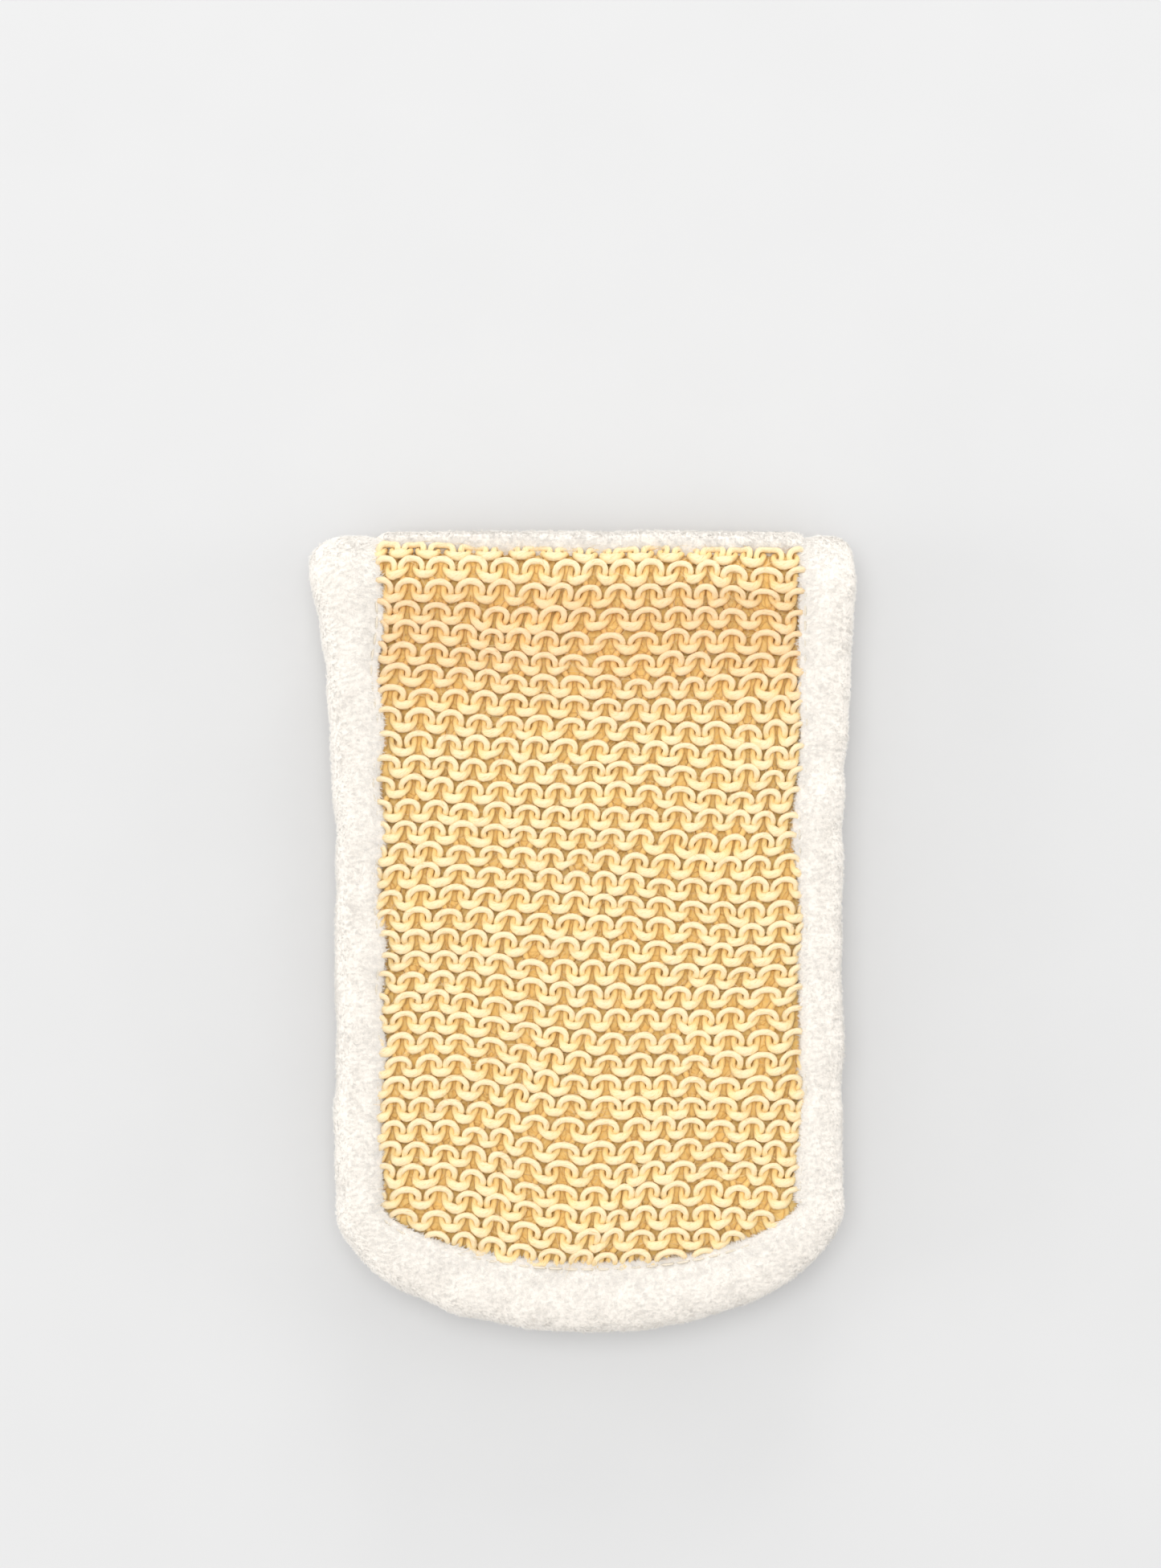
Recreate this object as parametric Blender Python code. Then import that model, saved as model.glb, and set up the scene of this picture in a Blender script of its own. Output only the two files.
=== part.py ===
"""A folded loofah back scrubber.

A long padded strap, knitted fibre outside and terry inside, is folded once across its middle. Each half is a
stack of cloth layers whose edges sit in the slot of a C-shaped plush binding, and the fold is made of the same
layers wrapped round the fold's axis. Half layers are written in the half's own frame: origin on the fold's axis,
-Y towards the rounded end, +Z away from the other half.

Row frame: origin under the middle of the folded pad, X across it, +Y towards the fold, +Z up.
"""

import math

import bmesh
import bpy
from mathutils import Matrix, Vector

MM = 0.001

# Overall size
LENGTH = 181.6 * MM
HALF_WIDTH = 57.2 * MM
HALF_THICKNESS = 12.15 * MM  # one half, from the middle plane to its outer face
END_DEPTH = 29.5 * MM  # how far the rounded end reaches past the straight sides
FOLD_FLARE = 4.3 * MM  # extra half width at the fold
FLARE_LENGTH = 50.0 * MM

# Binding
GAP = 0.3 * MM  # between neighbouring pieces
SIDE_LIP = 10.3 * MM  # how far the binding laps over the knit at the sides
END_LIP = 16.2 * MM  # and at the rounded end
WEB = 3.0 * MM  # the binding's thickness round the edge of the cloth
LIP = 2.0 * MM  # and on each face
LIP_TAPER = 2.6 * MM
LIP_EDGE = 0.5 * MM
OUTER_ROUND = 4.0 * MM
INNER_ROUND = 1.5 * MM
THREAD_RADIUS = 0.4 * MM

# Layers, from the middle plane outwards
LINING = 1.6 * MM
WADDING = 1.6 * MM
KNIT = 3.6 * MM
LINING_Z = GAP / 2 + LIP + GAP
WADDING_Z = LINING_Z + LINING + GAP
KNIT_Z = WADDING_Z + WADDING + GAP

# Fold
FOLD_THICKNESS = HALF_THICKNESS - GAP / 2  # the fold stays clear of the floor
FOLD_Y = LENGTH / 2 - FOLD_THICKNESS - GAP / 2
BAND_ANGLE = math.radians(45)  # the cross band covers this much each side of the crest
FOLD_STEPS = 12

SIDE_STATIONS = 9
END_STATIONS = 28
NEAR_END = -FOLD_Y - LENGTH / 2  # the rounded end's tip, in the half's frame
AXIS = Vector((0, FOLD_Y, HALF_THICKNESS))

FABRICS = {
    "knit": ((0.82, 0.66, 0.40, 1), 0.85),
    "plush": ((0.92, 0.86, 0.78, 1), 0.95),
    "terry": ((0.90, 0.85, 0.76, 1), 0.95),
    "wadding": ((0.80, 0.62, 0.34, 1), 0.9),
    "thread": ((0.90, 0.84, 0.72, 1), 0.7),
}


def fabric(name, kind):
    colour, roughness = FABRICS[kind]
    material = bpy.data.materials.new(name)
    material.use_nodes = True
    shader = material.node_tree.nodes["Principled BSDF"]
    shader.inputs["Base Color"].default_value = colour
    shader.inputs["Roughness"].default_value = roughness
    shader.inputs["Metallic"].default_value = 0.0
    return material


def finish(name, bm, kind, parent=None, location=(0, 0, 0)):
    """Turns a bmesh into a named, placed object with outward normals and its own material."""
    bmesh.ops.recalc_face_normals(bm, faces=bm.faces)
    mesh = bpy.data.meshes.new(name)
    bm.to_mesh(mesh)
    bm.free()
    mesh.shade_smooth()
    mesh.set_sharp_from_angle(angle=math.radians(40))
    mesh.materials.append(fabric(name, kind))
    obj = bpy.data.objects.new(name, mesh)
    bpy.context.collection.objects.link(obj)
    obj.parent = parent
    obj.location = location
    return obj


def stations():
    """(edge point, inward direction, lip width) round a half, from the fold's right side to its left."""
    end_y = NEAR_END + END_DEPTH
    side = []
    for i in range(SIDE_STATIONS):
        y = -GAP / 2 + (end_y + GAP / 2) * i / SIDE_STATIONS
        flare = FOLD_FLARE * max(0.0, 1 + y / FLARE_LENGTH)
        side.append((Vector((HALF_WIDTH + flare, y)), Vector((-1, 0)), SIDE_LIP + flare))
    end = []
    for i in range(END_STATIONS + 1):
        turn = math.pi * i / END_STATIONS
        cos, sin = math.cos(turn), math.sin(turn)
        inward = -Vector((cos / HALF_WIDTH, -sin / END_DEPTH)).normalized()
        lip = SIDE_LIP + (END_LIP - SIDE_LIP) * abs(sin) ** 1.3
        end.append((Vector((HALF_WIDTH * cos, end_y - END_DEPTH * sin)), inward, lip))
    left = [(Vector((-p.x, p.y)), -inward, lip) for p, inward, lip in reversed(side)]
    return side + end + left


def corner(centre, radius, first, steps):
    """Points of a quarter turn, in (depth, height)."""
    turns = [first + math.pi / 2 * i / steps for i in range(steps + 1)]
    return [(centre[0] + radius * math.cos(t), centre[1] + radius * math.sin(t)) for t in turns]


def binding_section(lip, top=HALF_THICKNESS, bottom=GAP / 2):
    """The binding's C-shaped section as (depth in from the edge, height), open towards the cloth."""
    over, under = top - LIP, GAP / 2 + LIP
    outside = corner((INNER_ROUND, bottom + INNER_ROUND), INNER_ROUND, math.pi, 2)
    outside.reverse()
    outside += reversed(corner((OUTER_ROUND, top - OUTER_ROUND), OUTER_ROUND, math.pi / 2, 4))
    slot = [
        (lip - LIP_TAPER, top),
        (lip, over + LIP_EDGE),
        (lip, over),
        (WEB, over),
        (WEB, under),
        (lip, under),
        (lip, bottom),
    ]
    return outside + slot


def loft(bm, rings):
    """Closed solid through a run of equal closed rings."""
    rings = [[bm.verts.new(point) for point in ring] for ring in rings]
    for one, two in zip(rings, rings[1:]):
        for i in range(len(one)):
            j = (i + 1) % len(one)
            bm.faces.new((one[i], one[j], two[j], two[i]))
    bm.faces.new(rings[0])
    bm.faces.new(reversed(rings[-1]))


def binding(name, parent):
    bm = bmesh.new()
    rings = []
    for point, inward, lip in stations():
        ring = [(*(point + inward * depth), height) for depth, height in binding_section(lip)]
        rings.append(ring)
    loft(bm, rings)
    return finish(name, bm, "plush", parent)


def thread(name, parent):
    """The seam's thread, lying on the taper of the outer lip."""
    slope = math.atan2(LIP - LIP_EDGE, LIP_TAPER)
    rise = THREAD_RADIUS + GAP
    back = 0.5 * MM - rise * math.sin(slope)
    height = HALF_THICKNESS - LIP + LIP_EDGE + 0.5 * MM * math.tan(slope) + rise * math.cos(slope)
    bm = bmesh.new()
    rings = []
    for point, inward, lip in stations():
        ring = []
        for i in range(4):
            turn = math.pi / 2 * i
            depth = lip - back + THREAD_RADIUS * math.cos(turn)
            ring.append((*(point + inward * depth), height + THREAD_RADIUS * math.sin(turn)))
        rings.append(ring)
    loft(bm, rings)
    return finish(name, bm, "thread", parent)


def panel(name, base, thickness, kind, parent):
    """A flat layer whose edge sits in the binding's slot."""
    bm = bmesh.new()
    edge = [bm.verts.new((*(p + inward * (WEB + GAP)), base)) for p, inward, _ in stations()]
    face = bm.faces.new(edge)
    grown = bmesh.ops.extrude_face_region(bm, geom=[face])
    risen = [v for v in grown["geom"] if isinstance(v, bmesh.types.BMVert)]
    bmesh.ops.translate(bm, verts=risen, vec=(0, 0, thickness))
    return finish(name, bm, kind, parent)


def wrapped(name, section, first, last, kind):
    """A section given as (x, distance from the fold's axis), turned about that axis from first to last."""
    steps = max(2, round(FOLD_STEPS * (last - first) / math.pi))
    bm = bmesh.new()
    rings = []
    for i in range(steps + 1):
        turn = first + (last - first) * i / steps
        rings.append([(x, r * math.cos(turn), r * math.sin(turn)) for x, r in section])
    loft(bm, rings)
    return finish(name, bm, kind, location=AXIS + Vector((0, GAP / 2, 0)))


def sleeve(half_width, inner, thickness):
    outer = inner + thickness
    return [(-half_width, inner), (half_width, inner), (half_width, outer), (-half_width, outer)]


def half(side, parent):
    panel(f"terry_lining_{side}", LINING_Z, LINING, "terry", parent)
    panel(f"wadding_{side}", WADDING_Z, WADDING, "wadding", parent)
    panel(f"knit_panel_{side}", KNIT_Z, KNIT, "knit", parent)
    binding(f"edge_binding_{side}", parent)
    thread(f"binding_thread_{side}", parent)


def fold():
    quarter = math.pi / 2
    half_width = HALF_WIDTH + FOLD_FLARE
    layer = half_width - WEB - GAP
    lip = SIDE_LIP + FOLD_FLARE
    wrapped("fold_lining", sleeve(layer, LINING_Z, LINING), -quarter, quarter, "terry")
    wrapped("fold_wadding", sleeve(layer, WADDING_Z, WADDING), -quarter, quarter, "wadding")
    past = BAND_ANGLE + math.radians(2)
    knit = sleeve(layer, KNIT_Z, KNIT)
    wrapped("fold_knit_front", knit, past, quarter, "knit")
    wrapped("fold_knit_back", knit, -quarter, -past, "knit")
    # The cross band sews the two knit panels together, and its ends pass under the binding.
    shown = half_width - lip - GAP
    step = KNIT_Z + KNIT
    band = [(-layer, KNIT_Z), (layer, KNIT_Z), (layer, step), (shown, step), (shown, FOLD_THICKNESS)]
    band += [(-shown, FOLD_THICKNESS), (-shown, step), (-layer, step)]
    wrapped("cross_band", band, -BAND_ANGLE, BAND_ANGLE, "plush")
    tape = binding_section(lip, top=FOLD_THICKNESS, bottom=2 * GAP)
    for name, sign in (("fold_binding_right", 1), ("fold_binding_left", -1)):
        section = [(sign * (half_width - depth), height) for depth, height in tape]
        wrapped(name, section, -quarter, quarter, "plush")


def pivot(name, turn):
    empty = bpy.data.objects.new(name, None)
    bpy.context.collection.objects.link(empty)
    empty.matrix_world = Matrix.Translation(AXIS) @ Matrix.Rotation(turn, 4, "Y")
    return empty


for old in list(bpy.data.objects):
    bpy.data.objects.remove(old)
half("front", pivot("front_pivot", 0.0))
half("back", pivot("back_pivot", math.pi))
fold()
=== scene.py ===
import math

import bpy
import numpy as np
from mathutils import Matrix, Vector


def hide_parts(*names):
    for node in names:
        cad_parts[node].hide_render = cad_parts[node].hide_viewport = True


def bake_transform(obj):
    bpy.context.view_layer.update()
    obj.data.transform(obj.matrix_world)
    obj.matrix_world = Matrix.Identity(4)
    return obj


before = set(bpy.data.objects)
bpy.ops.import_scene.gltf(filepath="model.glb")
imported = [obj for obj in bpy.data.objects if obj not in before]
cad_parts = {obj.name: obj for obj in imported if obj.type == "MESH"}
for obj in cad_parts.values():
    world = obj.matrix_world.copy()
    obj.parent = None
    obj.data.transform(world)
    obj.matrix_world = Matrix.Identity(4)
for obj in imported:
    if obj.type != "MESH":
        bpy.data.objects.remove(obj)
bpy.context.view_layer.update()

# Everything on the pad is made in strap space and then placed on a half. Strap space is (x, s, h): x across,
# s along the strap (0 where the fold starts, negative towards the rounded end, CREST on the fold's crest) and
# h away from the plane where the two halves meet.
MM = 0.001
FOLD_Y = 78.65 * MM
THICK = 12.15 * MM  # one half, from the middle plane to its outer face
MID_Z = THICK  # the middle plane's height
RHO = 9.0 * MM  # strap length for each radian of the fold
CREST = RHO * math.pi / 2
HALF_WIDTH = 57.2 * MM
SIDE_LIP, END_LIP = 10.3 * MM, 16.2 * MM
END_DEPTH = 29.5 * MM
TIP_S = -90.8 * MM - FOLD_Y
ELLIPSE_S = TIP_S + END_DEPTH
PILE = 0.5 * MM
# How far each layer runs from the fold's axis, on the crest.
LINING_CREST, PAD_CREST, FIBRE_CREST, KNIT_CREST = 2.7 * MM, 6.0 * MM, 8.0 * MM, 9.7 * MM
ROLL_CREST = 10.55 * MM
BAND_CREST = THICK - 0.9 * PILE
# The outline of the knit that shows: straight sides, then half an ellipse.
KNIT_HALF_WIDTH = 47.2 * MM
KNIT_END_DEPTH = 24.1 * MM
KNIT_END_S = -50.5 * MM - FOLD_Y
UP = {"front": 1.0, "back": -1.0}


def smooth(t):
    t = np.clip(t, 0, 1)
    return t * t * (3 - 2 * t)


class Wobble:
    """A smooth random field of two variables, about -1 to 1, the same each run."""

    def __init__(self, seed, size, terms=10):
        rng = np.random.default_rng(seed)
        turn = rng.uniform(0, 2 * np.pi, terms)
        rate = 2 * np.pi / size * rng.uniform(0.5, 1.4, terms)
        self.k = np.stack([np.cos(turn) * rate, np.sin(turn) * rate])
        self.phase = rng.uniform(0, 2 * np.pi, terms)
        self.scale = 1.3 / math.sqrt(terms)

    def __call__(self, x, y):
        p = np.asarray(x)[..., None] * self.k[0] + np.asarray(y)[..., None] * self.k[1]
        return np.sin(p + self.phase).sum(-1) * self.scale


def place(p, half):
    """Points of strap space in the row frame."""
    x, s, h = p[..., 0], p[..., 1], p[..., 2]
    phi = np.clip(s / RHO, 0, None)
    bent = s > 0
    y = FOLD_Y + np.where(bent, h * np.sin(phi), s)
    z = MID_Z + UP[half] * np.where(bent, h * np.cos(phi), h)
    return np.stack([x, y, z], -1)


def mesh_piece(name, verts, faces, half=None, attributes=None, material=None, normals=None):
    """A mesh object from arrays. faces is one array, or several of different widths. normals are for fibres,
    which take most of their shading from the cloth that they stand on."""
    faces = [faces] if isinstance(faces, np.ndarray) else list(faces)
    if half is not None:
        if normals is not None:
            ahead = place(verts + normals * 0.1 * MM, half)
        verts = place(verts, half)
        if normals is not None:
            normals = (ahead - verts) / np.linalg.norm(ahead - verts, axis=1, keepdims=True)
        if half == "back":
            faces = [f[:, ::-1] for f in faces]
    mesh = bpy.data.meshes.new(name)
    mesh.vertices.add(len(verts))
    mesh.vertices.foreach_set("co", np.ascontiguousarray(verts, np.float32).ravel())
    loops = np.concatenate([f.ravel() for f in faces])
    sizes = np.concatenate([np.full(len(f), f.shape[1]) for f in faces])
    mesh.loops.add(len(loops))
    mesh.loops.foreach_set("vertex_index", loops.astype(np.int32))
    mesh.polygons.add(len(sizes))
    mesh.polygons.foreach_set("loop_start", (np.cumsum(sizes) - sizes).astype(np.int32))
    mesh.update(calc_edges=True)
    mesh.polygons.foreach_set("use_smooth", np.ones(len(mesh.polygons), bool))
    for key, values in (attributes or {}).items():
        kind = "FLOAT" if values.ndim == 1 else "FLOAT_VECTOR"
        a = mesh.attributes.new(key, kind, "POINT")
        field = "value" if kind == "FLOAT" else "vector"
        a.data.foreach_set(field, np.ascontiguousarray(values, np.float32).ravel())
    if normals is not None:
        mesh.normals_split_custom_set_from_vertices(normals.astype(np.float32))
    obj = bpy.data.objects.new(name, mesh)
    bpy.context.collection.objects.link(obj)
    if material:
        mesh.materials.append(material)
    return obj


def join_halves(obj, half):
    """Bakes the piece's placement into its mesh, the same way for either half."""
    if half == "front":
        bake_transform(obj)
    else:
        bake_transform(obj)
    return obj


def grid_faces(rows, cols, closed=False):
    r = np.arange(rows - 1)[:, None]
    c = np.arange(cols if closed else cols - 1)[None, :]
    n = (c + 1) % cols
    return np.stack([r * cols + c, r * cols + n, (r + 1) * cols + n, (r + 1) * cols + c], -1).reshape(-1, 4)


def cones(roots, tips, radius, seed):
    """Tapered three-sided fibres with a slight bend, and how far along its fibre each vertex is."""
    rng = np.random.default_rng(seed)
    n = len(roots)
    axis = tips - roots
    length = np.linalg.norm(axis, axis=1, keepdims=True)
    axis /= np.maximum(length, 1e-9)
    helper = np.where(np.abs(axis[:, :1]) > 0.8, [[0.0, 1.0, 0.0]], [[1.0, 0.0, 0.0]])
    a = np.cross(axis, helper)
    a /= np.linalg.norm(a, axis=1, keepdims=True)
    b = np.cross(axis, a)
    spin = rng.uniform(0, 2 * np.pi, n)
    verts = np.empty((n, 4, 3))
    for i in range(3):
        t = spin + i * 2 * np.pi / 3
        verts[:, i] = roots + radius[:, None] * (np.cos(t)[:, None] * a + np.sin(t)[:, None] * b)
    verts[:, 3] = tips
    base = np.arange(n)[:, None] * 4
    faces = np.stack([base + [0, 1, 3], base + [1, 2, 3], base + [2, 0, 3]], 1).reshape(-1, 3)
    along = np.tile([0.0, 0.0, 0.0, 1.0], n)
    return verts.reshape(-1, 3), faces, along


def strands(points, radius, sides=3):
    """Closed thin tubes along points (strands, steps, 3); radius is (strands, steps)."""
    n, steps = points.shape[:2]
    t = np.gradient(points, axis=1)
    t /= np.maximum(np.linalg.norm(t, axis=2, keepdims=True), 1e-12)
    helper = np.where(np.abs(t[:, :1, 2:]) > 0.9, [[[0.0, 1.0, 0.0]]], [[[0.0, 0.0, 1.0]]])
    a = np.cross(t, np.broadcast_to(helper, t.shape))
    a /= np.maximum(np.linalg.norm(a, axis=2, keepdims=True), 1e-12)
    b = np.cross(t, a)
    turn = np.arange(sides) * 2 * np.pi / sides
    ring = np.cos(turn)[:, None] * a[:, :, None] - np.sin(turn)[:, None] * b[:, :, None]
    verts = points[:, :, None] + radius[:, :, None, None] * ring
    one = grid_faces(steps, sides, closed=True)[:, ::-1]
    per = steps * sides
    quads = (one[None] + np.arange(n)[:, None, None] * per).reshape(-1, 4)
    first = np.arange(sides)[None] + np.arange(n)[:, None] * per
    last = first[:, ::-1] + (steps - 1) * sides
    return verts.reshape(-1, 3), [quads, np.concatenate([first, last])]


# ---------------------------------------------------------------- materials


def lin(r, g, b):
    def one(v):
        v /= 255
        return v / 12.92 if v <= 0.04045 else ((v + 0.055) / 1.055) ** 2.4
    return (one(r), one(g), one(b), 1.0)


class Shader:
    """A Principled material with short ways to add nodes."""

    def __init__(self, name, **values):
        self.mat = bpy.data.materials.new(name)
        self.mat.use_nodes = True
        self.tree = self.mat.node_tree
        self.bsdf = self.tree.nodes["Principled BSDF"]
        for key, v in values.items():
            self.bsdf.inputs[key.replace("_", " ")].default_value = v

    def node(self, kind, inputs=None, **settings):
        n = self.tree.nodes.new("ShaderNode" + kind)
        for k, v in settings.items():
            setattr(n, k, v)
        for k, v in (inputs or {}).items():
            if isinstance(v, bpy.types.NodeSocket):
                self.tree.links.new(v, n.inputs[k])
            else:
                n.inputs[k].default_value = v
        return n

    def attribute(self, name, output="Fac"):
        return self.node("Attribute", attribute_name=name).outputs[output]

    def ramp(self, fac, stops):
        n = self.node("ValToRGB", {"Fac": fac})
        ramp = n.color_ramp
        while len(ramp.elements) < len(stops):
            ramp.elements.new(0.5)
        for e, (at, colour) in zip(ramp.elements, stops):
            e.position, e.color = at, colour
        return n.outputs["Color"]

    def mix(self, fac, a, b, blend="MIX"):
        n = self.node("Mix", data_type="RGBA", blend_type=blend)
        for i, v in ((0, fac), (6, a), (7, b)):
            if isinstance(v, bpy.types.NodeSocket):
                self.tree.links.new(v, n.inputs[i])
            else:
                n.inputs[i].default_value = v
        return n.outputs[2]

    def noise(self, vector, scale, detail=2.0, output="Fac"):
        inputs = {"Scale": scale, "Detail": detail}
        if vector is not None:
            inputs["Vector"] = vector
        return self.node("TexNoise", inputs).outputs[output]

    def math(self, op, a, b):
        n = self.node("Math", operation=op)
        for i, v in ((0, a), (1, b)):
            if isinstance(v, bpy.types.NodeSocket):
                self.tree.links.new(v, n.inputs[i])
            else:
                n.inputs[i].default_value = v
        return n.outputs[0]

    def finish(self, colour, bump=None, strength=0.3, distance=0.0002, roughness=None):
        self.tree.links.new(colour, self.bsdf.inputs["Base Color"])
        if bump is not None:
            n = self.node("Bump", {"Height": bump, "Strength": strength, "Distance": distance})
            self.tree.links.new(n.outputs["Normal"], self.bsdf.inputs["Normal"])
        if roughness is not None:
            self.tree.links.new(roughness, self.bsdf.inputs["Roughness"])
        return self.mat


def yarn_material():
    s = Shader("sisal_yarn", Sheen_Weight=0.12, Sheen_Roughness=0.5)
    depth = s.attribute("depth")
    yarn = s.attribute("yarn", "Vector")
    streak = s.noise(yarn, 1.6, 4.0)
    patch = s.noise(s.node("TexCoord").outputs["Object"], 90.0, 3.0)
    lit = s.math("ADD", depth, s.math("MULTIPLY", s.math("SUBTRACT", patch, 0.5), 0.35))
    # The ramp over depth paints shade: the deeper parts of each stitch and each ring's underside are painted a
    # darker gold.
    colour = s.ramp(lit, [(0.0, lin(249, 208, 126)), (0.33, lin(248, 217, 148)),
                          (0.62, lin(245, 221, 165)), (0.95, lin(242, 222, 183))])
    # Rows in a band a little below the fold are multiplied darker: painted shade of the shallow dip there.
    up = s.node("SeparateXYZ", {"Vector": s.node("TexCoord").outputs["Object"]}).outputs["Y"]
    band = s.ramp(s.math("MULTIPLY", up, 10.0), [(0.42, (0.0, 0.0, 0.0, 1)), (0.62, (0.8,) * 3 + (1,)),
                                                 (0.74, (0.8,) * 3 + (1,)), (0.84, (0.0, 0.0, 0.0, 1))])
    colour = s.mix(band, colour, s.mix(1.0, colour, lin(248, 236, 228), "MULTIPLY"))
    dark = s.mix(0.5, colour, lin(238, 192, 112), "MULTIPLY")
    colour = s.mix(s.ramp(streak, [(0.32, (0.85,) * 3 + (1,)), (0.5, (0.0, 0.0, 0.0, 1))]), colour, dark)
    rough = s.node("MapRange", {"Value": streak, "To Min": 0.95, "To Max": 0.7}).outputs[0]
    return s.finish(colour, streak, 0.5, 0.00025, rough)


def fibre_material(name, deep, light, tip):
    """Single fibres: tone differs from fibre to fibre, and each is paler towards its tip; the darker root is
    painted shade.
    """
    s = Shader(name)
    patch = s.noise(s.node("TexCoord").outputs["Object"], 140.0, 2.0)
    base = s.mix(s.attribute("tone"), deep, light)
    base = s.mix(s.math("MULTIPLY", patch, 0.35), base, deep)
    colour = s.mix(s.attribute("along"), base, tip)
    rough = s.node("MapRange", {"Value": patch, "To Min": 0.85, "To Max": 1.0}).outputs[0]
    return s.finish(colour, roughness=rough)


def cloth_material(name, a, b, c, grain=1400.0):
    """Backing cloth with a fine fibrous grain."""
    s = Shader(name, Sheen_Weight=0.2)
    where = s.node("TexCoord").outputs["Object"]
    fine = s.noise(where, grain, 5.0)
    broad = s.noise(where, 110.0, 3.0)
    colour = s.mix(s.ramp(fine, [(0.35, (0, 0, 0, 1)), (0.7, (1, 1, 1, 1))]), a, b)
    colour = s.mix(s.math("MULTIPLY", broad, 0.6), colour, c)
    rough = s.node("MapRange", {"Value": fine, "To Min": 0.8, "To Max": 1.0}).outputs[0]
    return s.finish(colour, fine, 0.7, 0.0004, rough)


YARN = yarn_material()
FUZZ = fibre_material("yarn_fibre", lin(216, 170, 100), lin(240, 216, 168), lin(242, 226, 194))
PLUSH = cloth_material("plush_ground", lin(236, 229, 220), lin(243, 237, 228), lin(232, 225, 215))
PLUSH_FIBRE = fibre_material("plush_fibre", lin(231, 224, 215), lin(243, 237, 229), lin(247, 243, 236))
TERRY = cloth_material("terry_ground", lin(240, 231, 214), lin(247, 240, 226), lin(236, 226, 208))
TERRY_LOOP = fibre_material("terry_loop", lin(241, 233, 218), lin(249, 243, 232), lin(251, 247, 239))
WADDING = cloth_material("wadding", lin(252, 214, 130), lin(254, 228, 158), lin(250, 207, 123), 900.0)
WADDING_FIBRE = fibre_material("wadding_fibre", lin(244, 196, 112), lin(252, 222, 150), lin(252, 226, 162))
THREAD = cloth_material("sewing_thread", lin(224, 213, 194), lin(233, 225, 210), lin(216, 203, 180), 3000.0)

# ---------------------------------------------------------------- outline


def flare(s, side, half):
    """How much further out the edge stands near the fold; the front half's left corner bulges most."""
    y = (s + FOLD_Y) / MM
    if half == "back":
        return MM * np.interp(y, [29, 79, 93], [0, 4.2, 3.6] if side < 0 else [0, 2.9, 2.4])
    if side < 0:
        return MM * np.interp(y, [20, 40, 60, 70, 76, 80, 86, 93], [0.6, 1.6, 3.0, 4.2, 5.8, 7.0, 6.6, 3.6])
    return MM * np.interp(y, [29, 45, 60, 72, 80, 93], [0, 1.2, 1.9, 2.2, 3.0, 2.4])


def edge_path(half, step=1.0 * MM):
    """Points of the outer edge in (x, s), inward directions and lip widths, from right crest to left."""
    n = int((CREST - ELLIPSE_S) / step)
    s = np.linspace(CREST, ELLIPSE_S, n, endpoint=False)
    sides = []
    for sign in (1, -1):
        out = flare(s, sign, half)
        inner = 46.9 * MM + 0.5 * MM * Wobble(31 + sign, 26 * MM)(s, 0 * s)
        x = sign * (HALF_WIDTH + out)
        sides.append((np.stack([x, s], 1), np.stack([-sign + 0 * s, 0 * s], 1), HALF_WIDTH + out - inner))
    m = int(141 * MM / step)
    t = np.pi * np.arange(m + 1) / m
    c, d = np.cos(t), np.sin(t)
    p = np.stack([HALF_WIDTH * c, ELLIPSE_S - END_DEPTH * d], 1)
    p[:, 0] -= flare(p[:, 1], -1, half) * smooth(-c * 3) * (half == "front")
    inward = -np.stack([c / HALF_WIDTH, -d / END_DEPTH], 1)
    inward /= np.linalg.norm(inward, axis=1, keepdims=True)
    lip = SIDE_LIP + (END_LIP - SIDE_LIP) * np.abs(d) ** 1.3
    right, left = sides
    points = np.concatenate([right[0], p, left[0][::-1]])
    normals = np.concatenate([right[1], inward, left[1][::-1]])
    lips = np.concatenate([right[2], lip, left[2][::-1]])
    return points, normals, lips


def inner_depth(x, s):
    """How far inside the knit's shown outline a point is; negative under the lip."""
    straight = KNIT_HALF_WIDTH - np.abs(x)
    below = np.clip(KNIT_END_S - s, 0, None)
    r = np.sqrt((x / KNIT_HALF_WIDTH) ** 2 + (below / KNIT_END_DEPTH) ** 2)
    curved = (1 - r) * 30 * MM
    return np.where(s < KNIT_END_S, curved, straight)


# ---------------------------------------------------------------- padded core


def core_grid(nx=47, ns=66):
    """Plan points of the core, widest at the sides and narrowing to the rounded end."""
    s = np.linspace(TIP_S + 5 * MM, 0, ns)
    t = np.clip((ELLIPSE_S - s) / (END_DEPTH - 3.3 * MM), 0, 1)
    w = (HALF_WIDTH - 3.6 * MM) * np.sqrt(1 - t * t)
    a = np.linspace(-1, 1, nx)
    return s, w, a


def slab(top, low, ns, nx):
    """A closed slab's points and faces, from two grids of ns by nx points."""
    rim = np.concatenate([np.arange(nx), np.arange(1, ns) * nx + nx - 1,
                          (ns - 1) * nx + np.arange(nx - 2, -1, -1), np.arange(ns - 2, 0, -1) * nx])
    nxt = np.roll(rim, -1)
    wall = np.stack([nxt, rim, rim + ns * nx, nxt + ns * nx], 1)
    quads = grid_faces(ns, nx)
    return np.concatenate([top, low]), [quads, quads[:, ::-1] + ns * nx, wall], rim


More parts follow.
